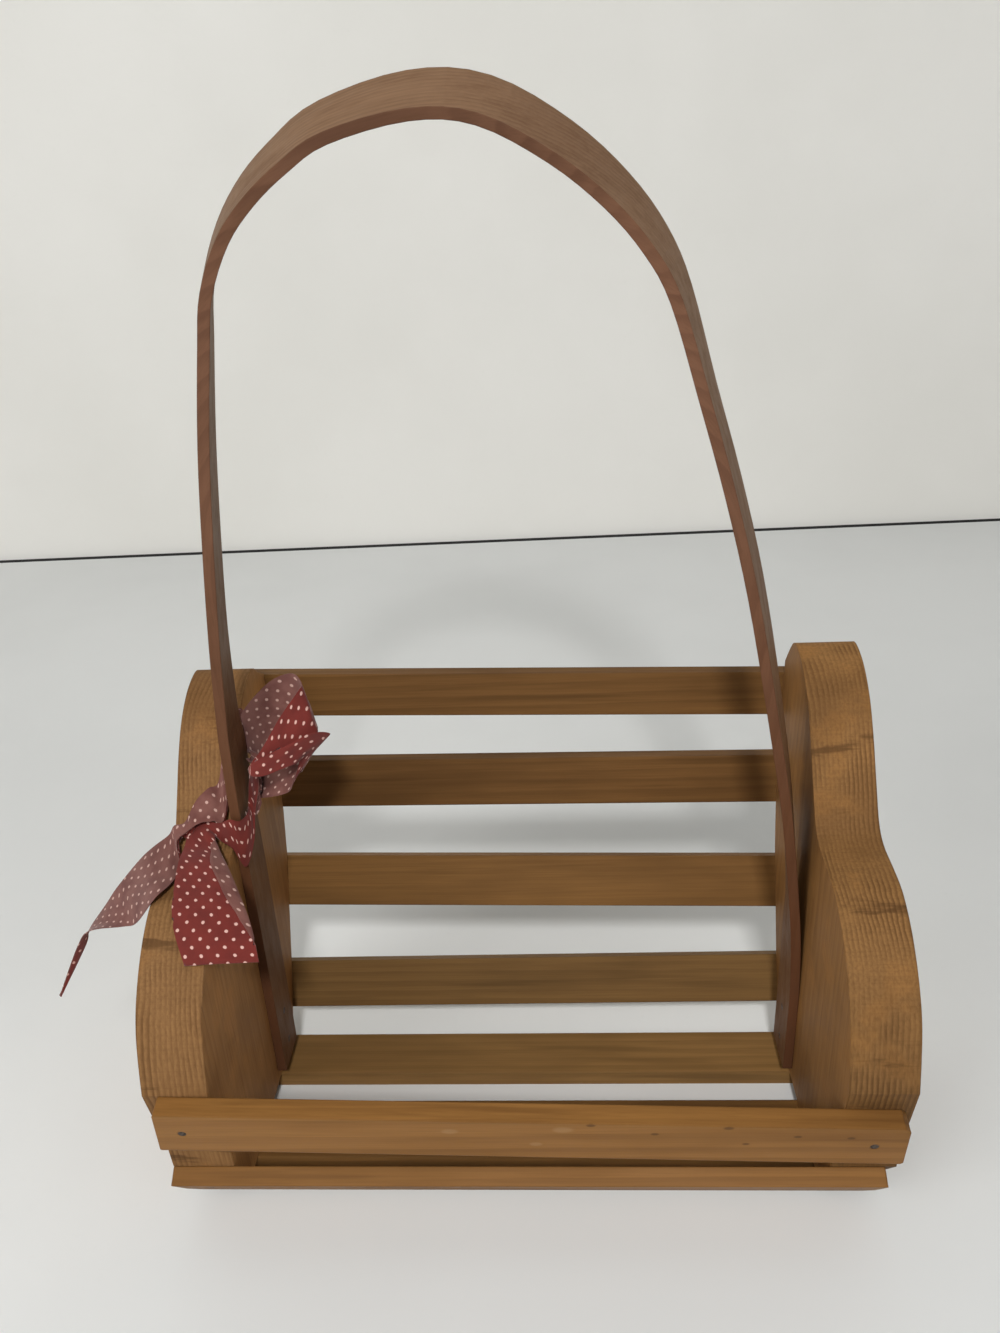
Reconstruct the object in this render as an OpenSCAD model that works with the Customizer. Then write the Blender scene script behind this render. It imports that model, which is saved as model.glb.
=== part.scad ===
// Trug garden basket: two bandsawn end boards, nailed slats, a bent strip handle and a cloth ribbon.
// Millimetres. +X is the basket's right, -Y its low front, +Z up.
// The origin is the middle of the underside of the rear floor slat.

/* [Boards] */
// Overall length, over both end boards
basket_len = 280; // [240:1:320]
// Thickness of each end board
board_t = 24.5; // [18:0.5:30]
// Height of the right board's top above the ground
board_top = 193.5; // [170:0.5:220]
// How far the boards reach in front of the origin, at the rail
board_reach = 88.5; // [78:0.5:100]
// How much lower the left board's top was sawn
left_top_drop = 5.5; // [0:0.5:8]

/* [Slats] */
// Thickness of the floor slats and the lower front slat
slat_t = 7; // [4:0.5:9]
// Thickness of the back slats
back_t = 6; // [4:0.5:9]
// Width of the rear floor slat and the two middle back slats
slat_w = 24; // [20:0.5:27]
// Width of the wider front floor slat
front_floor_w = 29; // [24:0.5:31]
// Width of the narrower top back slat
top_slat_w = 21; // [16:0.5:26]
// Width of the narrower lowest back slat
low_slat_w = 22; // [18:0.5:26]
// Gap between the two floor slats
floor_gap = 15.5; // [8:0.5:18]
// Gap left between pieces that touch
seat_gap = 0.1; // [0.05:0.05:0.3]

/* [Front rail] */
// Length of the front rail
rail_len = 274; // [250:1:280]
// How far the front rail was nailed off the middle, to the right
rail_shift = 1; // [0:0.5:3]
// How far its sawn ends lean: each is this much longer at the lower edge and shorter at the upper one
rail_lean = 1; // [0:0.5:2]
// Thickness of the front rail
rail_t = 7.5; // [5:0.5:10]
// Width of the front rail and the lower front slat
rail_w = 25; // [20:0.5:28]
// How much shorter the lower front slat is, at its right end only
lower_short = 4; // [0:0.5:8]

/* [Handle] */
// Width of the bent strip
handle_w = 21; // [15:0.5:26]
// Thickness of the bent strip
handle_t = 4; // [2.5:0.5:6]
// How far the crown's front edge rises above the right board's top
handle_rise = 200; // [160:1:240]
// Height of the handle's feet above the floor slats
foot_lift = 6; // [2:0.5:12]
// How far the strip's front edge stands in front of the origin
handle_front = 15.5; // [12:0.5:18]

/* [Brads] */
// Diameter of a brad's shank
brad_d = 1.6; // [1.2:0.1:2]
// Diameter of a brad's head
brad_head_d = 3; // [2.4:0.1:4]
// Thickness of a brad's head, let in flush
brad_head_t = 0.8; // [0.6:0.1:1.2]
// Length of a slat brad
brad_len = 20; // [16:0.5:24]
// Length of a handle brad
handle_brad_len = 14; // [10:0.5:18]
// Radial gap round a brad in its hole
brad_gap = 0.05; // [0.02:0.01:0.1]

/* [Ribbon] */
// Thickness of the cloth
cloth_t = 0.8; // [0.6:0.1:1.2]

/* [Hidden] */
$fn = 24;

board_x = basket_len / 2 - board_t;
brad_x = basket_len / 2 - board_t / 2;
// The rail ends short of the boards' outer faces, so its brads stand midway over what it covers
rail_brad_x = (board_x + rail_len / 2) / 2;
board_foot = slat_t + seat_gap;
pine = [0.62, 0.42, 0.22];
steam_bent = [0.55, 0.33, 0.19];
iron = [0.30, 0.27, 0.25];
calico = [0.62, 0.20, 0.18];

// The shapes below are drawn for a board of this height, reach and thickness, and follow the real ones
drawn_top = 193.5;
drawn_reach = 88.5;
drawn_t = 24.5;
up = board_top / drawn_top;
deep = board_reach / drawn_reach;

// Seats of the back slats on the boards' back edge, top to bottom: lower inner corner [y, z], lean out of
// upright and droop of the right end in degrees, slat width
back_seats = [
    [57.5 * deep, 154.4 * up, 0, 1.27, top_slat_w],
    [54 * deep, 108.7 * up, 4.5, 0.5, slat_w],
    [38.6 * deep, 61.7 * up, 22.4, 0.93, slat_w],
    [19.5 * deep, 18.4 * up, 25.7, -0.24, low_slat_w]
];
// Seats of the front rail and the lower front slat on the boards' front edge, in the same form
rail_seat = [-82 * deep, 49.2 * up, 13, 2.2, rail_w];
lower_seat = [-65.5 * deep, 10 * up, 35, 0, rail_w];
// Widths and middles of the two floor slats, rear and front
floor_w = [slat_w, front_floor_w];
floor_y = [0, -slat_w / 2 - floor_gap - front_floor_w / 2];
// Ends of the boards' flat bottom edge
flat_back = 13.5;
flat_front = -63.5 * deep;

// Front edge of an end board between the rail and the top back slat: belly, arm, neck and dome
sawn_line = [
    [-86, 90], [-82, 102], [-76.5, 111.5], [-67.5, 121.5], [-57, 129.5],
    [-46, 134.5], [-34, 136], [-22, 137], [-13.5, 142], [-4, 156], [5.5, 170.5],
    [15, 182], [26, 190], [36, 193.5], [43.5, 193.5], [49, 189]
];
// Height from which the left board's top is sawn lower
neck_z = 140;

// Handle strip, from each foot to the crown: [bow away from the board, height, turn of the face], drawn
// for a basket with this much room between the strip's feet and a crown that rises this far
drawn_inner = 111.4;
drawn_rise = 200;
left_bend = [
    [0, 110, 0], [0, 140, 0], [0.4, 165, 0.5], [0.8, 178, 1.2], [1.4, 190, 4.5], [4.1, 224, 7.7],
    [8.3, 263, 9], [12.8, 298, 10], [18.5, 331, 12], [22, 347, 14], [29.6, 362, 17],
    [39.2, 372.5, 21.5], [50.5, 381, 24.5], [63.4, 388, 27.5], [88, 393, 31]
];
right_bend = [
    [0, 50, 0], [0.3, 62, 0.5], [1.3, 80, 2.6], [3.4, 101, 7], [9.3, 145, 10.8], [18.1, 192, 13.5],
    [27.6, 238, 14], [37.2, 275, 13.5], [47.2, 308, 13.2], [57, 338.5, 15.5], [65.5, 353.5, 20.5],
    [77.5, 367, 25], [94, 380, 29], [115, 391, 31.5]
];
foot_z = slat_t + foot_lift;
// Heights of the two brads over each foot
foot_brads = [9, 26];
// Cuts across the corners of a slat: lower left, lower right, upper right, upper left
square_cuts = [0.5, 0.5, 0.5, 0.5];
rail_cuts = [0.5, 1, 2, 0.5];
lower_cuts = [5, 4, 0.5, 0.5];

// The ribbon's route, as pairs of points on its two edges, X from the left board's inner face
ribbon_edges = [
    // Tail that hangs over the left board's arm in front, from its end up to the knot
    [[-6.5, -69.5, 123], [21, -69, 124]], [[-13.5, -56, 134], [16, -57.5, 133]],
    [[-17, -34.5, 141], [4.5, -37.5, 140.5]], [[-17.5, -22.5, 142.5], [-2, -27, 142.5]],
    [[-16.5, -12, 147.5], [-5.5, -20.5, 145]],
    // Turn under the band, then round the front and the inner side of the leg
    [[-5, -16, 148.5], [-3.5, -19, 141.5]], [[0.5, -18, 151.5], [0.5, -20, 139]],
    [[4, -17, 150], [4, -18.5, 129]], [[6.5, -13, 151], [7.5, -13.5, 138.5]],
    [[6, -8, 153], [9, -10.5, 150]], [[5.5, -3, 157.5], [11, -7.5, 160]],
    [[6, 0, 163], [11, -6, 166]],
    // Twist behind the knot, then the rear layer of the loop, up to its first fold
    [[9.5, -3, 168], [9.5, -5.5, 171]], [[13, -4, 171], [6.5, 2.5, 171.5]],
    [[17, -5, 172.5], [2.5, 8.5, 169]], [[25, -5.5, 181], [2.5, 9, 182.5]],
    [[35, -8.5, 187.5], [17.5, 3, 200.5]], [[38.5, -11, 188], [29.5, -3, 208]],
    [[39.5, -13, 188], [34.5, -8, 206]],
    // Front layer, that runs down to a point at the knot
    [[38, -15, 186.5], [33.5, -12, 204.5]], [[29, -17.5, 181.5], [27, -15.5, 196.5]],
    [[20.5, -18.5, 176.5], [18, -17.5, 183]], [[14, -19, 175.5], [13, -18, 177]],
    // Second bow, out to its pointed fold and back behind itself
    [[13, -20, 177], [13, -20.5, 173.5]], [[18.5, -20.5, 181], [18, -20.5, 173]],
    [[30, -20, 186.5], [25.5, -19.5, 175.5]], [[38.5, -18, 190], [30.5, -17.5, 176.5]],
    [[44.5, -14.5, 187.5], [31, -14, 175.5]], [[37.5, -11, 181], [26.5, -12, 164.5]],
    [[30.5, -9.5, 177], [22.5, -9.5, 158]], [[17, -4.5, 169.5], [9.5, -4, 152.5]],
    // Behind the leg, then down over the board's slope as the band of the knot
    [[14, 0, 169], [8.5, 1, 153]], [[8.5, 9, 174], [7, 9.5, 162]],
    [[3.5, 12, 184], [3.5, 12.5, 176.5]], [[-3, 8, 182.5], [-2.5, 8, 175]],
    [[-6, -3, 161], [-2.5, -13, 150.5]], [[-10, -6.5, 159], [-7, -16.5, 150]],
    [[-14.5, -10.5, 155.5], [-12, -17, 149.5]], [[-18.5, -15.5, 149], [-17, -19.5, 147]],
    // Tail that runs under the front one and out over the left board's side
    [[-23.5, -15, 147], [-21, -21.5, 143.5]], [[-25.5, -17, 144], [-17.5, -31, 138]],
    [[-31.5, -20, 140.5], [-18, -41.5, 138.5]], [[-36.5, -23.5, 137], [-21.5, -49, 138]],
    [[-46.5, -27.5, 126.5], [-31.5, -48, 125.5]], [[-51.5, -29, 120], [-38.5, -46, 122]],
    // Its turned, pointed tip
    [[-60.5, -31, 108.5], [-54.5, -41, 116]], [[-62, -34, 103], [-63, -38, 106]],
    [[-75, -40, 81], [-75, -40.5, 82]]
];

// Point on a smooth curve through p0, p1, p2 and p3, between p1 and p2
function curve_point(p0, p1, p2, p3, t) =
    0.5 * (2 * p1 + (p2 - p0) * t + (2 * p0 - 5 * p1 + 4 * p2 - p3) * t * t
        + (3 * p1 - p0 - 3 * p2 + p3) * t * t * t);

// Smooth open curve through all points, with steps pieces between neighbours
function smooth(points, steps) =
    let (last = len(points) - 1)
    [for (i = [0 : last - 1], s = [0 : steps - 1])
        curve_point(points[max(i - 1, 0)], points[i], points[i + 1], points[min(i + 2, last)], s / steps),
     points[last]];

// How far a drooping slat shifts along its seat at its ends
function seat_slack(seat) = basket_len / 2 * abs(sin(seat[3]));

// Corner of a seat: along its slope by w from the lower inner corner, out of it by d; side is 1 at the back
function seat_corner(seat, w, d, side) =
    [seat[0] + side * (w * sin(seat[2]) + d * cos(seat[2])), seat[1] + w * cos(seat[2]) - d * sin(seat[2])];

// The upper (1) and lower (0) corner of a seat on a board, in the order of ends
function seat_ends(seat, side, ends) =
    [for (w = ends) seat_corner(seat, w > 0 ? seat[4] + seat_slack(seat) : -seat_slack(seat), 0, side)];

// Point of an end board's front edge, the part above the neck lowered by up to drop
function sawn_point(p, drop) =
    [p[0] * deep, p[1] * up - drop * max(0, (p[1] - neck_z) / (drawn_top - neck_z))];

// Outline of an end board in Y and Z, its top lowered by drop
function board_outline(drop) =
    let (
        back = [for (seat = back_seats) each seat_ends(seat, 1, [1, 0])],
        front = [for (seat = [lower_seat, rail_seat]) each seat_ends(seat, -1, [0, 1])],
        sawn = smooth(concat([front[3]], [for (p = sawn_line) sawn_point(p, drop)], [back[0]]), 5)
    )
    concat(
        [for (i = [1 : len(sawn) - 2]) sawn[i]],
        back,
        [[flat_back, board_foot], [flat_front, board_foot]],
        front
    );

// Puts a plate on a seat: its Y runs up the seat's slope and its +Z points out of the board
module on_seat(seat, side) {
    corner = seat_corner(seat, seat[4] / 2, seat_gap, side);
    translate([0, corner[0], corner[1]])
        rotate([90 - side * seat[2], 0, 0])
            mirror([0, 0, side > 0 ? 1 : 0])
                rotate([0, 0, -seat[3]])
                    children();
}

// Puts a plate under the boards' flat bottom edge, its +Z pointing down
module on_floor(y) {
    translate([0, y, slat_t])
        mirror([0, 0, 1])
            children();
}

// A brad driven from the outer face of a slat of thickness t, larger all round by grow
module brad(t, length, grow) {
    translate([0, 0, t - length - (grow > 0 ? 0.3 : 0)])
        cylinder(d = brad_d + 2 * grow, h = length + (grow > 0 ? 0.3 : 0));
    translate([0, 0, t - brad_head_t - (grow > 0 ? seat_gap : 0)])
        cylinder(d = brad_head_d + 2 * grow, h = brad_head_t + (grow > 0 ? 1 : 0));
}

// The two brads of one slat of thickness t, each x from the middle
module brad_pair(x, t, grow) {
    for (side = [-x, x])
        translate([side, 0, 0])
            brad(t, brad_len, grow);
}

// Thin slat from x0 to x1 with its corners cut: lower left, lower right, upper right, upper left.
// Its ends lean outwards by lean at the lower edge and inwards at the upper one.
module slat(x0, x1, w, t, brads, cuts, lean = 0) {
    difference() {
        linear_extrude(t)
            polygon([
                [x0 - lean + cuts[0], -w / 2], [x1 + lean - cuts[1], -w / 2],
                [x1 + lean, -w / 2 + cuts[1]], [x1 - lean, w / 2 - cuts[2]],
                [x1 - lean - cuts[2], w / 2], [x0 + lean + cuts[3], w / 2],
                [x0 + lean, w / 2 - cuts[3]], [x0 - lean, -w / 2 + cuts[0]]
            ]);
        brad_pair(brads, t, brad_gap);
    }
}

// Every slat brad, or every hole for one when grow is more than 0
module all_slat_brads(grow) {
    for (seat = back_seats)
        on_seat(seat, 1) brad_pair(brad_x, back_t, grow);
    for (y = floor_y)
        on_floor(y) brad_pair(brad_x, slat_t, grow);
    on_seat(rail_seat, -1) brad_pair(rail_brad_x, rail_t, grow);
    on_seat(lower_seat, -1) brad_pair(brad_x, slat_t, grow);
}

// Every handle brad, driven outwards from the strip's inner face into a board
module all_handle_brads(grow) {
    for (side = [-1, 1], z = foot_brads)
        translate([side * (board_x - seat_gap - handle_t), handle_w / 2 - handle_front, foot_z + z])
            rotate([0, -side * 90, 0])
                brad(0, handle_brad_len, grow);
}

// End board that fills X from x0 to x0 + board_t, its top lowered by drop
module end_board(x0, drop) {
    difference() {
        translate([x0, 0, 0])
            rotate([90, 0, 90])
                linear_extrude(board_t)
                    polygon(board_outline(drop));
        all_slat_brads(brad_gap);
        all_handle_brads(brad_gap);
    }
}

// Two triangles of the four-sided face p, q, r, s, split from p to r or from q to s
function halves(p, q, r, s, from_p) = from_p ? [[p, q, r], [p, r, s]] : [[p, q, s], [q, r, s]];

// Closed solid through rings of points with the same number of points each. Both halves of a ring are
// split along the same way, so that the two faces of a thin, twisted sheet stay apart.
module loft(rings) {
    sides = len(rings[0]);
    last = len(rings) - 1;
    polyhedron(
        points = [for (ring = rings, p = ring) p],
        faces = concat(
            [[for (j = [0 : sides - 1]) j]],
            [for (i = [0 : sides : (last - 1) * sides], j = [0 : sides - 1])
                let (k = (j + 1) % sides)
                each halves(i + j, i + sides + j, i + sides + k, i + k, j < sides / 2)],
            [[for (j = [sides - 1 : -1 : 0]) last * sides + j]]
        )
    );
}

// Unit vector along v
function unit(v) = v / norm(v);

// Direction of a list of points at index i
function along(points, i) = unit(points[min(i + 1, len(points) - 1)] - points[max(i - 1, 0)]);

// Height of a point that is drawn on the handle: it follows the boards up to their top, then the crown
function handle_z(z) = z < drawn_top ? z * up : board_top + (z - drawn_top) * handle_rise / drawn_rise;

// Route of the strip's front inner edge as [x, z, turn], from the left foot over the crown to the right
function handle_route() =
    let (inner = board_x - seat_gap - handle_t, spread = inner / drawn_inner)
    concat(
        [[-inner, foot_z, 0]],
        [for (row = left_bend) [-inner + row[0] * spread, handle_z(row[1]), row[2]]],
        [for (i = [len(right_bend) - 1 : -1 : 0])
            [inner - right_bend[i][0] * spread, handle_z(right_bend[i][1]), right_bend[i][2]]],
        [[inner, foot_z, 0]]
    );

// Four corners of the strip at one point of its route, heading along dir in X and Z
function handle_ring(p, dir) =
    let (
        edge = [p[0], -handle_front, p[1]],
        out = [-dir[1], 0, dir[0]],
        across = cos(p[2]) * [0, 1, 0] + sin(p[2]) * out,
        thick = cos(p[2]) * out - sin(p[2]) * [0, 1, 0]
    )
    [edge, edge + handle_t * thick, edge + handle_t * thick + handle_w * across, edge + handle_w * across];

// Place of a ribbon point: its X follows the left board's two faces, its Y and Z the board's outline
function ribbon_place(p) = [-board_x + p[0] * (p[0] < 0 ? board_t / drawn_t : 1), p[1] * deep, p[2] * up];

// Strip of cloth between two smooth edges, from pairs of points [edge a, edge b]
module cloth(pairs, steps) {
    a = smooth([for (pair = pairs) pair[0]], steps);
    b = smooth([for (pair = pairs) pair[1]], steps);
    middle = (a + b) / 2;
    loft([for (i = [0 : len(a) - 1])
        let (n = cloth_t / 2 * unit(cross(b[i] - a[i], along(middle, i))))
        [a[i] - n, a[i] + n, b[i] + n, b[i] - n]]);
}

module left_board() { color(pine) end_board(-basket_len / 2, left_top_drop); }
module right_board() { color(pine) end_board(board_x, 0); }
module back_slat(i) {
    color(pine)
        on_seat(back_seats[i], 1)
            slat(-basket_len / 2, basket_len / 2, back_seats[i][4], back_t, brad_x, square_cuts);
}
module floor_slat(i) {
    color(pine)
        on_floor(floor_y[i])
            slat(-basket_len / 2, basket_len / 2, floor_w[i], slat_t, brad_x, square_cuts);
}
module back_slat_1() { back_slat(0); }
module back_slat_2() { back_slat(1); }
module back_slat_3() { back_slat(2); }
module back_slat_4() { back_slat(3); }
module floor_slat_1() { floor_slat(0); }
module floor_slat_2() { floor_slat(1); }
module front_rail() {
    color(pine)
        on_seat(rail_seat, -1)
            slat(rail_shift - rail_len / 2, rail_shift + rail_len / 2, rail_w, rail_t,
                rail_brad_x, rail_cuts, rail_lean);
}
module front_lower_slat() {
    color(pine)
        on_seat(lower_seat, -1)
            slat(-basket_len / 2, basket_len / 2 - lower_short, rail_w, slat_t, brad_x, lower_cuts);
}
module handle_strip() {
    route = smooth(handle_route(), 4);
    flat = [for (p = route) [p[0], p[1]]];
    color(steam_bent)
        difference() {
            loft([for (i = [0 : len(route) - 1]) handle_ring(route[i], along(flat, i))]);
            all_handle_brads(brad_gap);
        }
}
module ribbon() {
    color(calico)
        cloth([for (pair = ribbon_edges) [ribbon_place(pair[0]), ribbon_place(pair[1])]], 3);
}
module slat_brads() { color(iron) all_slat_brads(0); }
module handle_brads() { color(iron) all_handle_brads(0); }

left_board();
right_board();
back_slat_1();
back_slat_2();
back_slat_3();
back_slat_4();
floor_slat_1();
floor_slat_2();
front_rail();
front_lower_slat();
handle_strip();
ribbon();
slat_brads();
handle_brads();
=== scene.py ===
"""Looks of the trug garden basket: stained pine boards and slats, bent strip handle and spotted calico ribbon."""
import math

import bpy
from mathutils import Matrix, Vector


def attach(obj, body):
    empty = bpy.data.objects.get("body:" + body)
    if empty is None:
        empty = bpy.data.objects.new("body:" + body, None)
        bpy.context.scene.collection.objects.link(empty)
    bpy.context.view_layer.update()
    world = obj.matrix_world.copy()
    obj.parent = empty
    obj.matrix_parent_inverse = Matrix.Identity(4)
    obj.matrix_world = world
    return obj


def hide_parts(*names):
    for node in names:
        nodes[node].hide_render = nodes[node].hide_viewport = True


MM = 0.001


# Node trees

class Tree:
    """Short names for building a material's node tree."""

    def __init__(self, name):
        self.mat = bpy.data.materials.new(name)
        self.mat.use_nodes = True
        self.tree = self.mat.node_tree
        self.tree.nodes.clear()
        self.out = self.tree.nodes.new("ShaderNodeOutputMaterial")

    def put(self, socket, value):
        """Links value if it is a socket, and otherwise sets it."""
        if isinstance(value, bpy.types.NodeSocket):
            self.tree.links.new(value, socket)
        elif value is not None:
            socket.default_value = value

    def add(self, kind, inputs=None, **settings):
        node = self.tree.nodes.new(kind)
        for key, value in settings.items():
            setattr(node, key, value)
        for key, value in (inputs or {}).items():
            self.put(node.inputs[key], value)
        return node

    def math(self, operation, a, b=None, c=None, clamp=False):
        node = self.add("ShaderNodeMath", operation=operation, use_clamp=clamp)
        for i, value in enumerate((a, b, c)):
            if value is not None:
                self.put(node.inputs[i], value)
        return node.outputs[0]

    def total(self, *parts):
        """Sum of (weight, value) pairs."""
        found = None
        for weight, value in parts:
            part = self.math("MULTIPLY", value, weight)
            found = part if found is None else self.math("ADD", found, part)
        return found

    def span(self, value, low, high, to_low=0.0, to_high=1.0):
        """value mapped from low..high to to_low..to_high, smooth and clamped."""
        node = self.add("ShaderNodeMapRange", interpolation_type="SMOOTHSTEP")
        for key, v in (("Value", value), ("From Min", low), ("From Max", high),
                       ("To Min", to_low), ("To Max", to_high)):
            self.put(node.inputs[key], v)
        return node.outputs["Result"]

    def mix(self, factor, a, b, blend="MIX"):
        node = self.add("ShaderNodeMix", data_type="RGBA", blend_type=blend)
        self.put(node.inputs["Factor"], factor)
        self.put(node.inputs[6], a)
        self.put(node.inputs[7], b)
        return node.outputs[2]

    def noise(self, vector, scale, detail=3.0, rough=0.55, distortion=0.0):
        node = self.add("ShaderNodeTexNoise", {
            "Vector": vector, "Scale": scale, "Detail": detail, "Roughness": rough, "Distortion": distortion})
        return node.outputs["Fac"]

    def stretch(self, vector, scale, offset=(0, 0, 0)):
        node = self.add("ShaderNodeMapping", {"Vector": vector, "Scale": scale, "Location": offset})
        return node.outputs["Vector"]

    def place(self):
        return self.add("ShaderNodeTexCoord").outputs["Object"]

    def axes(self, vector):
        return self.add("ShaderNodeSeparateXYZ", {"Vector": vector}).outputs

    def facing(self, axis):
        """How far the surface faces along an axis, either way: 0 to 1."""
        normal = self.add("ShaderNodeNewGeometry").outputs["Normal"]
        return self.math("ABSOLUTE", self.axes(normal)[axis])

    def surface(self, base, rough, height, strength, distance, bevel=0.0, gloss=0.14):
        """Principled surface with a bump in metres, its edges rounded by bevel metres."""
        bump = self.add("ShaderNodeBump", {"Strength": strength, "Distance": distance, "Height": height})
        if bevel:
            rounded = self.add("ShaderNodeBevel", {"Radius": bevel}, samples=4)
            self.put(bump.inputs["Normal"], rounded.outputs[0])
        shader = self.add("ShaderNodeBsdfPrincipled", {
            "Base Color": base, "Roughness": rough, "Normal": bump.outputs[0], "Specular IOR Level": gloss})
        self.put(self.out.inputs["Surface"], shader.outputs[0])
        return self.mat


def colour(r, g, b):
    """An sRGB colour given from 0 to 255, as linear RGBA."""
    def linear(v):
        v /= 255
        return v / 12.92 if v <= 0.04045 else ((v + 0.055) / 1.055) ** 2.4
    return (linear(r), linear(g), linear(b), 1.0)


def dimmed(tone, factor):
    return tuple(factor * v for v in tone[:3]) + (1.0,)


def tinted(tone, factors):
    return tuple(v * f for v, f in zip(tone, factors)) + (1.0,)


def dress(obj, material):
    obj.data.materials.clear()
    obj.data.materials.append(material)


# Wood

# Places of marks on the front rail, in metres along it and up: dark knots and pale scuffs, with their sizes
RAIL_KNOTS = [(0.024, 0.070, 0.0010), (0.047, 0.064, 0.0009), (0.073, 0.068, 0.0011), (0.080, 0.057, 0.0008),
              (0.098, 0.062, 0.0009), (0.117, 0.061, 0.0009)]
RAIL_SCUFFS = [(-0.027, 0.066, 0.0018), (0.014, 0.067, 0.0022), (0.004, 0.057, 0.0014)]


def growth(t, along_place, across, pitch, wander, seed):
    """Growth layers pitch metres apart along across: 0 in the pale early wood, 1 at a layer's dark end."""
    drift = t.noise(t.stretch(along_place, (1, 1, 1), (seed, seed * 0.7, seed * 1.3)), 15.0, 2.0, 0.5)
    shiver = t.noise(along_place, 260.0, 2.0, 0.5)
    layer = t.total((1 / pitch, across), (wander, drift), (0.5, shiver))
    phase = t.math("FRACT", layer)
    late = t.math("MULTIPLY", t.span(phase, 0.15, 0.82), t.span(phase, 0.88, 1.0, 1.0, 0.0))
    return t.math("MULTIPLY", late, t.span(t.noise(along_place, 60.0, 2.0), 0.35, 0.65, 0.35, 1.0))


def marks(t, x, z, spots):
    """1 inside any of the spots (x, z, radius) on a face, 0 outside."""
    found = None
    for px, pz, radius in spots:
        dx = t.math("DIVIDE", t.math("SUBTRACT", x, px), 1.8 * radius)
        dz = t.math("DIVIDE", t.math("SUBTRACT", z, pz), radius)
        away = t.math("ADD", t.math("MULTIPLY", dx, dx), t.math("MULTIPLY", dz, dz))
        spot = t.span(away, 0.2, 1.4, 1.0, 0.0)
        found = spot if found is None else t.math("MAXIMUM", found, spot)
    return found


def slat_wood(name, light, dark, seed, pitch=0.0035, contrast=0.4, knots=None, scuffs=None):
    """Planed slat: the grain runs along x."""
    t = Tree(name)
    place = t.place()
    x, y, z = t.axes(place)
    along = t.stretch(place, (0.045, 1, 1))
    late = growth(t, along, t.total((0.75, y), (0.65, z)), pitch, 4.0, seed)
    fibre = t.noise(t.stretch(place, (0.02, 1, 1), (seed, 0, 0)), 1500.0, 3.0, 0.6)
    broad = t.noise(t.stretch(place, (0.25, 1, 1), (0, seed, 0)), 28.0, 3.0, 0.6)
    base = t.mix(t.math("MULTIPLY", late, contrast), light, dark)
    base = t.mix(t.span(fibre, 0.35, 0.75, 0.0, 0.35), base, dark)
    base = t.mix(t.span(broad, 0.38, 0.68, 0.0, 0.5), base, dimmed(dark, 0.8))
    streak = t.noise(t.stretch(place, (0.04, 1, 1), (seed, 0, seed)), 170.0, 2.0, 0.5)
    base = t.mix(t.span(streak, 0.58, 0.72, 0.0, 0.45), base, dimmed(dark, 0.7))
    if knots:
        base = t.mix(t.math("MULTIPLY", marks(t, x, z, knots), 0.7), base, dimmed(dark, 0.45))
    if scuffs:
        base = t.mix(t.math("MULTIPLY", marks(t, x, z, scuffs), 0.16), base, colour(190, 160, 122))
    height = t.total((0.5, fibre), (0.3, late))
    rough = t.span(broad, 0.3, 0.7, 0.5, 0.64)
    return t.surface(base, rough, height, 0.22, 0.25 * MM, 0.9 * MM)


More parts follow.
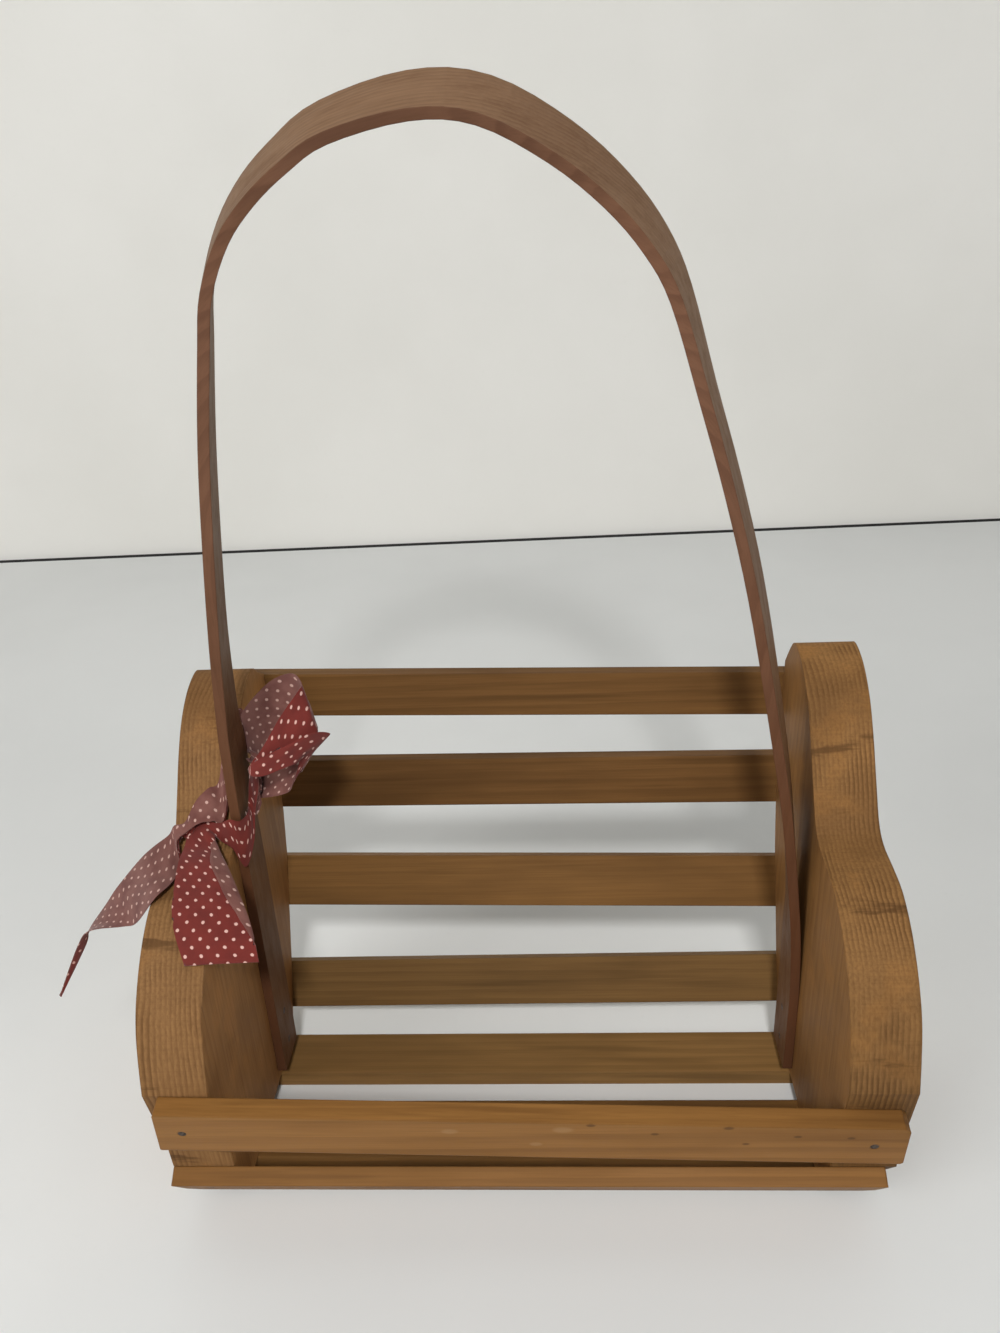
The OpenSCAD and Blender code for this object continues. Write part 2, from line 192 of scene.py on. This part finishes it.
def board_wood(name, light, dark, seed, low, high):
    """End board: its growth layers lie across its thickness, and show as lines on its bandsawn edges.

    low and high give painted shade and painted light on those edges, at the board's foot and at its top.
    """
    t = Tree(name)
    place = t.place()
    x, y, z = t.axes(place)
    along = t.stretch(place, (1, 1, 0.18))
    sawn = t.span(t.facing(0), 0.3, 0.7, 1.0, 0.0)
    flat = t.math("SUBTRACT", 1.0, sawn)
    across = t.total((1.0, x), (0.3, t.math("MULTIPLY", y, flat)))
    late = growth(t, along, across, 1.9 * MM, 7.0, seed)
    fibre = t.noise(t.stretch(place, (1, 1, 0.03), (seed, 0, 0)), 1100.0, 3.0, 0.6)
    cuts = t.noise(t.stretch(place, (0.02, 1, 1), (0, seed, 0)), 1300.0, 2.0, 0.7)
    kerf = t.noise(t.stretch(place, (0.1, 1, 1), (0, 0, seed)), 240.0, 2.0, 0.6)
    broad = t.noise(place, 20.0, 3.0, 0.6)
    burnt = t.noise(t.stretch(place, (0.2, 1, 1), (seed, seed, 0)), 105.0, 4.0, 0.6)
    patch = t.noise(t.stretch(place, (1, 1, 1), (0, seed, seed)), 42.0, 3.0, 0.6)
    late = t.math("MULTIPLY", late, t.span(patch, 0.46, 0.64, 1.0, 0.3))
    base = t.mix(t.math("MULTIPLY", late, t.span(sawn, 0.0, 1.0, 0.28, 0.75)), light, dark)
    base = t.mix(t.span(patch, 0.52, 0.66, 0.0, 0.5), base, tinted(light, (1.2, 1.12, 0.95)))
    base = t.mix(t.span(fibre, 0.35, 0.75, 0.0, 0.4), base, dark)
    base = t.mix(t.math("MULTIPLY", t.span(cuts, 0.45, 0.75, 0.0, 0.15), sawn), base, dark)
    base = t.mix(t.math("MULTIPLY", t.span(kerf, 0.5, 0.75, 0.0, 0.08), sawn), base, dimmed(dark, 0.8))
    base = t.mix(t.math("MULTIPLY", t.span(burnt, 0.6, 0.7, 0.0, 0.7), sawn), base, dimmed(dark, 0.75))
    base = t.mix(t.span(broad, 0.4, 0.65, 0.0, 0.4), base, dimmed(dark, 0.95))
    # Painted shade and painted light on the sawn edges: darker towards the board's foot by low, lighter towards
    # its top by high
    painted_light_level = t.mix(t.span(z, 0.03, 0.18), (low, low, low, 1.0), (high, high, high, 1.0))
    # Painted light: the flat faces are lightened by 1.35, against the shade the inner faces sit in inside the
    # basket
    base = t.mix(1.0, base, t.mix(flat, painted_light_level, (1.35, 1.33, 1.3, 1.0)), "MULTIPLY")
    height = t.total((0.4, fibre), (0.5, t.math("MULTIPLY", cuts, sawn)), (0.3, late))
    rough = t.span(sawn, 0.0, 1.0, 0.55, 0.72)
    return t.surface(base, rough, height, 0.3, 0.3 * MM, 0.9 * MM)


def strip_wood(name):
    """Steam-bent strip: the grain follows the arch, the edges are redder than the worn, greyer faces."""
    t = Tree(name)
    place = t.place()
    x, y, z = t.axes(place)
    up = t.math("SUBTRACT", z, 0.24)
    arch = t.math("MAXIMUM", up, 0.0)
    turn = t.math("ARCTAN2", arch, x)
    radius = t.math("SQRT", t.total((1.0, t.math("MULTIPLY", x, x)), (1.0, t.math("MULTIPLY", arch, arch))))
    run = t.total((0.006, turn), (0.05, t.math("MINIMUM", up, 0.0)))
    bent = t.add("ShaderNodeCombineXYZ", {"X": radius, "Y": y, "Z": run}).outputs[0]
    late = growth(t, bent, t.total((1.0, y), (0.6, radius)), 2.2 * MM, 3.0, 3.0)
    fibre = t.noise(bent, 1600.0, 3.0, 0.6)
    mottle = t.noise(t.stretch(bent, (1, 1, 6)), 210.0, 3.0, 0.65)
    broad = t.noise(place, 22.0, 2.0, 0.5)
    edge = t.span(t.facing(1), 0.6, 0.8)
    face_tone = t.mix(t.math("MULTIPLY", late, 0.45), colour(130, 100, 74), colour(98, 71, 50))
    edge_tone = t.mix(t.math("MULTIPLY", late, 0.5), colour(112, 78, 58), colour(82, 53, 38))
    base = t.mix(edge, face_tone, edge_tone)
    base = t.mix(t.span(z, 0.14, 0.3, 0.75, 0.0), base, t.mix(edge, colour(112, 76, 46), colour(90, 54, 30)))
    base = t.mix(t.span(mottle, 0.5, 0.75, 0.0, 0.3), base, colour(84, 56, 38))
    base = t.mix(t.span(fibre, 0.35, 0.75, 0.0, 0.25), base, colour(80, 52, 35))
    base = t.mix(t.span(broad, 0.4, 0.7, 0.0, 0.2), base, colour(84, 55, 37))
    height = t.total((0.5, fibre), (0.3, mottle))
    return t.surface(base, t.span(mottle, 0.3, 0.7, 0.52, 0.66), height, 0.25, 0.25 * MM, 0.7 * MM)


def brad_iron():
    t = Tree("brad_iron")
    rust = t.noise(t.place(), 900.0)
    base = t.mix(t.span(rust, 0.4, 0.65), colour(74, 60, 48), colour(46, 36, 30))
    shader = t.add("ShaderNodeBsdfPrincipled", {
        "Base Color": base, "Metallic": 0.6, "Roughness": t.span(rust, 0.3, 0.7, 0.4, 0.65)})
    t.put(t.out.inputs["Surface"], shader.outputs[0])
    return t.mat


# Ribbon

CLOTH_W = 33.0
CLOTH_T = 0.3
# Room between two layers of the folded cloth
LAYER = 0.45
HEM = 0.8
PLEAT_COLS = 16
SHOWN_COLS = 24
OVER_COLS = 6
STEPS = 6
# The cloth is tucked in behind itself, away from this side
FRONT = Vector((0.25, -0.67, 0.70))
BOARD_FACE = -115.5
# Route of the strip, as pairs of points on the two edges that show, X from the left board's inner face
RIBBON_EDGES = [
    # Tail that hangs over the left board's arm in front, from its end up to the knot
    ((-6.5, -69.5, 123), (21, -69, 124)), ((-13.5, -56, 134), (16, -57.5, 133)),
    ((-17, -34.5, 141), (4.5, -37.5, 140.5)), ((-17.5, -22.5, 142.5), (-2, -27, 142.5)),
    ((-16.5, -12, 147.5), (-5.5, -20.5, 145)),
    # Turn under the band, then round the front and the inner side of the leg
    ((-5, -16, 148.5), (-3.5, -19, 141.5)), ((0.5, -18, 151.5), (0.5, -20, 139)),
    ((4, -17, 150), (4, -18.5, 129)), ((6.5, -13, 151), (7.5, -13.5, 138.5)),
    ((6, -8, 153), (9, -10.5, 150)), ((5.5, -3, 157.5), (11, -7.5, 160)),
    ((6, 0, 163), (11, -6, 166)),
    # Twist behind the knot, then the rear layer of the loop, up to its first fold
    ((9.5, -3, 168), (9.5, -5.5, 171)), ((13, -4, 171), (6.5, 2.5, 171.5)),
    ((17, -5, 172.5), (2.5, 8.5, 169)), ((25, -5.5, 181), (2.5, 9, 182.5)),
    ((35, -8.5, 187.5), (17.5, 3, 200.5)), ((38.5, -11, 188), (29.5, -3, 208)),
    ((39.5, -13, 188), (34.5, -8, 206)),
    # Front layer, that runs down to a point at the knot
    ((38, -15, 186.5), (33.5, -12, 204.5)), ((29, -17.5, 181.5), (27, -15.5, 196.5)),
    ((20.5, -18.5, 176.5), (18, -17.5, 183)), ((14, -19, 175.5), (13, -18, 177)),
    # Second bow, out to its pointed fold and back behind itself
    ((13, -20, 177), (13, -20.5, 173.5)), ((18.5, -20.5, 181), (18, -20.5, 173)),
    ((30, -20, 186.5), (25.5, -19.5, 175.5)), ((38.5, -18, 190), (30.5, -17.5, 176.5)),
    ((44.5, -14.5, 187.5), (31, -14, 175.5)), ((37.5, -11, 181), (26.5, -12, 164.5)),
    ((30.5, -9.5, 177), (22.5, -9.5, 158)), ((17, -4.5, 169.5), (9.5, -4, 152.5)),
    # Behind the leg, then down over the board's slope as the band of the knot
    ((14, 0, 169), (8.5, 1, 153)), ((8.5, 9, 174), (7, 9.5, 162)),
    ((3.5, 12, 184), (3.5, 12.5, 176.5)), ((-3, 8, 182.5), (-2.5, 8, 175)),
    ((-6, -3, 161), (-2.5, -13, 150.5)), ((-10, -6.5, 159), (-7, -16.5, 150)),
    ((-14.5, -10.5, 155.5), (-12, -17, 149.5)), ((-18.5, -15.5, 149), (-17, -19.5, 147)),
    # Tail that runs under the front one and out over the left board's side
    ((-23.5, -15, 147), (-21, -21.5, 143.5)), ((-25.5, -17, 144), (-17.5, -31, 138)),
    ((-31.5, -20, 140.5), (-18, -41.5, 138.5)), ((-36.5, -23.5, 137), (-21.5, -49, 138)),
    ((-46.5, -27.5, 126.5), (-31.5, -48, 125.5)), ((-51.5, -29, 120), (-38.5, -46, 122)),
    # Its turned, pointed tip
    ((-60.5, -31, 108.5), (-54.5, -41, 116)), ((-62, -34, 103), (-63, -38, 106)),
    ((-75, -40, 81), (-75, -40.5, 82)),
]
# How much of the front tail turns back in front at its right edge, by place in the list above
TURNED_BACK = [(0, 0), (0.55, 0), (0.8, 2), (1, 3.4), (1.5, 6.2), (2, 7), (3, 4), (3.8, 0), (47, 0)]
# Where the front tail's long crease stands, as a share of its width, and how high it is
CREASE_AT = [(0, 0.5), (1, 0.6), (2, 0.68), (4, 0.72), (47, 0.72)]
CREASE_UP = [(0, 0.8), (0.5, 1.6), (2, 2.0), (3.5, 1.0), (4.5, 0), (47, 0)]
# From here on the end is cut at a slant, from the lower corner to the tip
SLANT_CUT = 42.6


def curve_point(p0, p1, p2, p3, t):
    return 0.5 * (2 * p1 + (p2 - p0) * t + (2 * p0 - 5 * p1 + 4 * p2 - p3) * t * t
                  + (3 * p1 - p0 - 3 * p2 + p3) * t * t * t)


def smooth(points, steps):
    """Smooth open curve through all points."""
    pts = [Vector(p) for p in points]
    last = len(pts) - 1
    found = []
    for i in range(last):
        four = [pts[max(i - 1, 0)], pts[i], pts[i + 1], pts[min(i + 2, last)]]
        found += [curve_point(*four, s / steps) for s in range(steps)]
    return found + [pts[last]]


def ease(v):
    v = min(max(v, 0.0), 1.0)
    return v * v * (3 - 2 * v)


def read_off(table, at):
    """Value of a table of (place, value) at a place, eased between its rows."""
    for (p, v), (q, w) in zip(table, table[1:]):
        if at <= q:
            return v + (w - v) * ease((at - p) / (q - p))
    return table[-1][1]


def relief(at, s):
    """Height of the cloth over its plain surface at a share s of its width, in millimetres."""
    crease = read_off(CREASE_AT, at)
    ridge = s / crease if s < crease else (1 - s) / (1 - crease)
    ripple = 0.25 * math.sin(2.3 * at + 5 * s) * math.sin(math.pi * s)
    return read_off(CREASE_UP, at) * ridge + ripple


def cloth_row(at, a, b, out):
    """One row across the cloth, from the hem that is tucked in to the other, as (point, mm from that hem).

    The cloth shows from a to b. At b a part turns back in front; what is left of its width is pleated behind.
    """
    wide = (b - a).length
    reach = (b - a) / wide
    over = read_off(TURNED_BACK, at)
    cut = min(CLOTH_W, 6 * wide + over)
    cut += (wide + HEM - cut) * ease((at - SLANT_CUT) / 0.6)
    under = max(cut - wide - over, 0.0)
    least = min(HEM, 0.2 * wide)
    zone_a, zone_b = max(under, least), max(over, least)

    def spot(across, lift):
        lift += relief(at, across / wide)
        return a + reach * across + out * lift

    row = []
    for k in range(PLEAT_COLS, 0, -1):
        past = zone_a * k / PLEAT_COLS - (zone_a - under)
        folded = past % (2 * wide)
        across = min(folded, 2 * wide - folded) if past > 0 else -past
        lift = -LAYER * (min(past, 1) + past / wide) if past > 0 else 0
        row.append((spot(across, lift), under - past))
    first, last = zone_a - under, wide - (zone_b - over)
    for k in range(SHOWN_COLS + 1):
        across = first + (last - first) * k / SHOWN_COLS
        row.append((spot(across, 0), under + across))
    for k in range(1, OVER_COLS + 1):
        past = zone_b * k / OVER_COLS - (zone_b - over)
        lift = LAYER * min(past, 1) if past > 0 else 0
        row.append((spot(wide - abs(past), lift), under + wide + past))
    return row, cut


def calico():
    """Both sides of the cloth: small pale spots on brick red, faded on the wrong side."""
    made = []
    for name, ground, spot, fade, shade in (
            ("calico_right", colour(115, 45, 39), colour(216, 172, 160), 1.0, colour(94, 38, 34)),
            ("calico_wrong", colour(124, 82, 74), colour(200, 164, 152), 0.9, colour(90, 48, 44))):
        t = Tree(name)
        uv = t.add("ShaderNodeUVMap", uv_map="cloth").outputs[0]
        u, v, w = t.axes(uv)
        pitch = 4.4 * math.sqrt(2)
        away = []
        for operation in ("ADD", "SUBTRACT"):
            turned = t.math("DIVIDE", t.math(operation, u, v), pitch)
            off = t.math("SUBTRACT", t.math("FRACT", turned), 0.5)
            away.append(t.math("MULTIPLY", off, off))
        distance = t.math("SQRT", t.math("ADD", *away))
        ragged = t.total((1.0, distance), (0.08, t.noise(uv, 2.2, 2.0)))
        dot = t.span(ragged, 0.155, 0.215, 1.0, 0.0)
        warp = t.add("ShaderNodeTexWave", {"Vector": uv, "Scale": 0.9}, bands_direction="X").outputs["Fac"]
        weft = t.add("ShaderNodeTexWave", {"Vector": uv, "Scale": 0.9}, bands_direction="Y").outputs["Fac"]
        thread = t.math("MULTIPLY", warp, weft)
        mottled = t.noise(uv, 0.12, 3.0)
        base = t.mix(t.span(mottled, 0.35, 0.7, 0.0, 0.6), ground, shade)
        base = t.mix(t.span(thread, 0.2, 0.9, 0.0, 0.12), base, dimmed(ground, 1.35))
        base = t.mix(t.math("MULTIPLY", dot, fade), base, spot)
        bump = t.add("ShaderNodeBump", {"Strength": 0.3, "Distance": 0.1 * MM, "Height": thread})
        shader = t.add("ShaderNodeBsdfPrincipled", {
            "Base Color": base, "Roughness": 0.9, "Normal": bump.outputs[0],
            "Sheen Weight": 0.15, "Specular IOR Level": 0.15})
        t.put(t.out.inputs["Surface"], shader.outputs[0])
        made.append(t.mat)
    return made


def make_ribbon():
    """The ribbon's cloth, and its length and flat area in metres."""
    edges = [[Vector(p) + Vector((BOARD_FACE, 0, 0)) for p in pair] for pair in RIBBON_EDGES]
    a = smooth([pair[0] for pair in edges], STEPS)
    b = smooth([pair[1] for pair in edges], STEPS)
    middle = [(p + q) / 2 for p, q in zip(a, b)]
    verts, uvs = [], []
    length = area = 0.0
    for i, (p, q) in enumerate(zip(a, b)):
        ahead = middle[min(i + 1, len(a) - 1)] - middle[max(i - 1, 0)]
        normal = (q - p).cross(ahead).normalized()
        out = normal * math.tanh(4 * normal.dot(FRONT))
        row, cut = cloth_row(i / STEPS, p, q, out)
        if i:
            step = (middle[i] - middle[i - 1]).length
            length += step
            area += step * (CLOTH_W if i / STEPS < SLANT_CUT else cut)
        verts += [point * MM for point, _ in row]
        uvs += [(length, u) for _, u in row]
    cols = len(row)
    faces = [(k, k + 1, k + cols + 1, k + cols)
             for i in range(len(a) - 1) for k in range(i * cols, (i + 1) * cols - 1)]
    mesh = bpy.data.meshes.new("ribbon_cloth")
    mesh.from_pydata([tuple(v) for v in verts], [], faces)
    layer = mesh.uv_layers.new(name="cloth")
    for loop in mesh.loops:
        layer.data[loop.index].uv = uvs[loop.vertex_index]
    mesh.shade_smooth()
    mesh.set_sharp_from_angle(angle=math.radians(60))
    obj = bpy.data.objects.new("ribbon_cloth", mesh)
    bpy.context.scene.collection.objects.link(obj)
    for m in calico():
        mesh.materials.append(m)
    thick = obj.modifiers.new("thick", "SOLIDIFY")
    thick.thickness = CLOTH_T * MM
    thick.offset = 0
    thick.material_offset = 1
    thick.material_offset_rim = 1
    print("ribbon: length %.1f mm, flat area %.0f mm2, mesh %.0f mm2" % (
        length, area, sum(p.area for p in mesh.polygons) / MM ** 2))
    return obj, length * MM, area * MM * MM


# Stage

# The table's rear edge, against the wall: its middle, its turn about Z and the gap behind it, filled with a dark
# sheet of painted shade
TABLE_END = (-0.051, 0.736)
TABLE_TURN = math.radians(1.75)
TABLE_GAP = 0.007
# How far the sheet of painted shade reaches above the table, where the wall begins
SHADE_SHEET_UP = 0.0006


def paint(name, tone, shade):
    t = Tree(name)
    cloud = t.noise(t.place(), 3.0, 4.0)
    speck = t.noise(t.place(), 220.0, 2.0)
    base = t.mix(t.span(cloud, 0.35, 0.65, 0.0, 0.5), tone, shade)
    base = t.mix(t.span(speck, 0.6, 0.8, 0.0, 0.15), base, shade)
    return t.surface(base, 0.75, speck, 0.05, 0.2 * MM)


def make_stage():
    """A pale table that ends at a pale wall, with a thin gap between them that a dark sheet of painted shade
    fills.
    """
    sides = (math.cos(TABLE_TURN), math.sin(TABLE_TURN))
    back = Vector((*TABLE_END, 0))
    along = Vector((*sides, 0))
    behind = Vector((-sides[1], sides[0], 0))
    for name, material, corner, first, second in (
            ("table_top", paint("table_paint", colour(232, 233, 231), colour(222, 223, 221)),
             back, along * 6, behind * -6),
            # Painted shade: a dark sheet stands in the gap between table and wall, where only shade falls
            ("gap_painted_shade", paint("gap_shade_paint", colour(62, 61, 60), colour(46, 46, 45)),
             back + behind * TABLE_GAP - Vector((0, 0, 0.05)), along * 6, Vector((0, 0, 0.05 + SHADE_SHEET_UP))),
            ("back_wall", paint("wall_paint", colour(240, 238, 232), colour(230, 228, 221)),
             back + behind * TABLE_GAP + Vector((0, 0, SHADE_SHEET_UP)), along * 6, Vector((0, 0, 4)))):
        start = corner - first / 2
        points = [start, start + first, start + first + second, start + second]
        mesh = bpy.data.meshes.new(name)
        mesh.from_pydata([tuple(p) for p in points], [], [(0, 1, 2, 3)])
        obj = bpy.data.objects.new(name, mesh)
        bpy.context.scene.collection.objects.link(obj)
        dress(obj, material)


# Softboxes: direction they shine from (turn to the right from the front, height), distance, size, watts
LAMPS = [("front", 2, 48, 1.4, 0.12, 9.5), ("left", -48, 30, 3.0, 1.6, 32), ("right", 52, 30, 3.0, 1.6, 6)]


def make_light():
    world = bpy.data.worlds.new("studio")
    bpy.context.scene.world = world
    world.use_nodes = True
    back = world.node_tree.nodes["Background"]
    back.inputs[0].default_value = (0.97, 0.985, 1.0, 1)
    back.inputs[1].default_value = 0.21
    for name, turn, height, distance, size, power in LAMPS:
        turn, height = math.radians(turn), math.radians(height)
        flat = math.cos(height)
        place = distance * Vector((flat * math.sin(turn), -flat * math.cos(turn), math.sin(height)))
        light = bpy.data.lights.new(name, "AREA")
        light.size = size
        light.energy = power
        obj = bpy.data.objects.new(name, light)
        obj.location = place
        obj.rotation_euler = (-place).to_track_quat("-Z", "Y").to_euler()
        bpy.context.scene.collection.objects.link(obj)


def make_camera():
    right = Vector((0.99815, 0.03859, -0.04698))
    down = Vector((-0.02527, -0.43949, -0.89789))
    forward = Vector((-0.05530, 0.89742, -0.43770))
    cam = bpy.data.cameras.new("camera")
    cam.sensor_fit = "AUTO"
    cam.sensor_width = 36
    cam.lens = 28.46
    obj = bpy.data.objects.new("camera", cam)
    turn = Matrix((right, -down, -forward)).transposed().to_4x4()
    obj.matrix_world = Matrix.Translation(Vector((16.6, -361.5, 383.5)) * MM) @ turn
    bpy.context.scene.collection.objects.link(obj)
    bpy.context.scene.camera = obj


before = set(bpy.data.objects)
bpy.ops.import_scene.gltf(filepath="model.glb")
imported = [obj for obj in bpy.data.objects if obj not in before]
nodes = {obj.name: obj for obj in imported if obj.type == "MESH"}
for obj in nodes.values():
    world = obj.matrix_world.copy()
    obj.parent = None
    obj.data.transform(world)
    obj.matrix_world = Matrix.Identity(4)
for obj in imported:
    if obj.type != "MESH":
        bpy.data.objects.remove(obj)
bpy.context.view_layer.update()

slat_light, slat_dark = colour(126, 90, 49), colour(94, 65, 33)
rail_light, rail_dark = colour(142, 99, 50), colour(112, 74, 34)
# Each slat has its own tint; floor_slat_1 is lit up well past the rest with painted light, against the shade it
# lies in inside the basket
slats = (("back_slat_1", (0.86, 0.84, 0.84)), ("back_slat_2", (0.88, 0.86, 0.88)),
         ("back_slat_3", (1.12, 1.12, 1.1)), ("back_slat_4", (1.0, 1.1, 1.2)),
         ("floor_slat_1", (1.4, 1.55, 1.7)), ("floor_slat_2", (1.1, 1.1, 1.1)))
for i, (name, tint) in enumerate(slats):
    dress(nodes[name], slat_wood(name + "_pine", tinted(slat_light, tint), tinted(slat_dark, tint),
                                 1.0 + 2.3 * i))
dress(nodes["front_rail"], slat_wood("rail_pine", rail_light, rail_dark, 17.0, 0.0045, 0.5,
                                     RAIL_KNOTS, RAIL_SCUFFS))
dress(nodes["front_lower_slat"], slat_wood("lower_pine", dimmed(rail_light, 0.92), dimmed(rail_dark, 0.92), 21.0,
                                           0.004, 0.5))
# The last two numbers are painted shade at the foot and painted light at the top of each board's sawn edges
dress(nodes["left_board"], board_wood("left_pine", colour(150, 110, 68), colour(98, 65, 34), 5.0, 0.8, 0.92))
dress(nodes["right_board"], board_wood("right_pine", colour(134, 97, 56), colour(84, 56, 29), 9.0, 0.7, 1.3))
dress(nodes["handle_strip"], strip_wood("strip_wood"))
iron = brad_iron()
for name in ("slat_brads", "handle_brads"):
    dress(nodes[name], iron)

ribbon, ribbon_length, ribbon_area = make_ribbon()
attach(ribbon, "root")
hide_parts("ribbon")

make_stage()
make_light()
make_camera()
bpy.context.scene.view_settings.view_transform = "Standard"
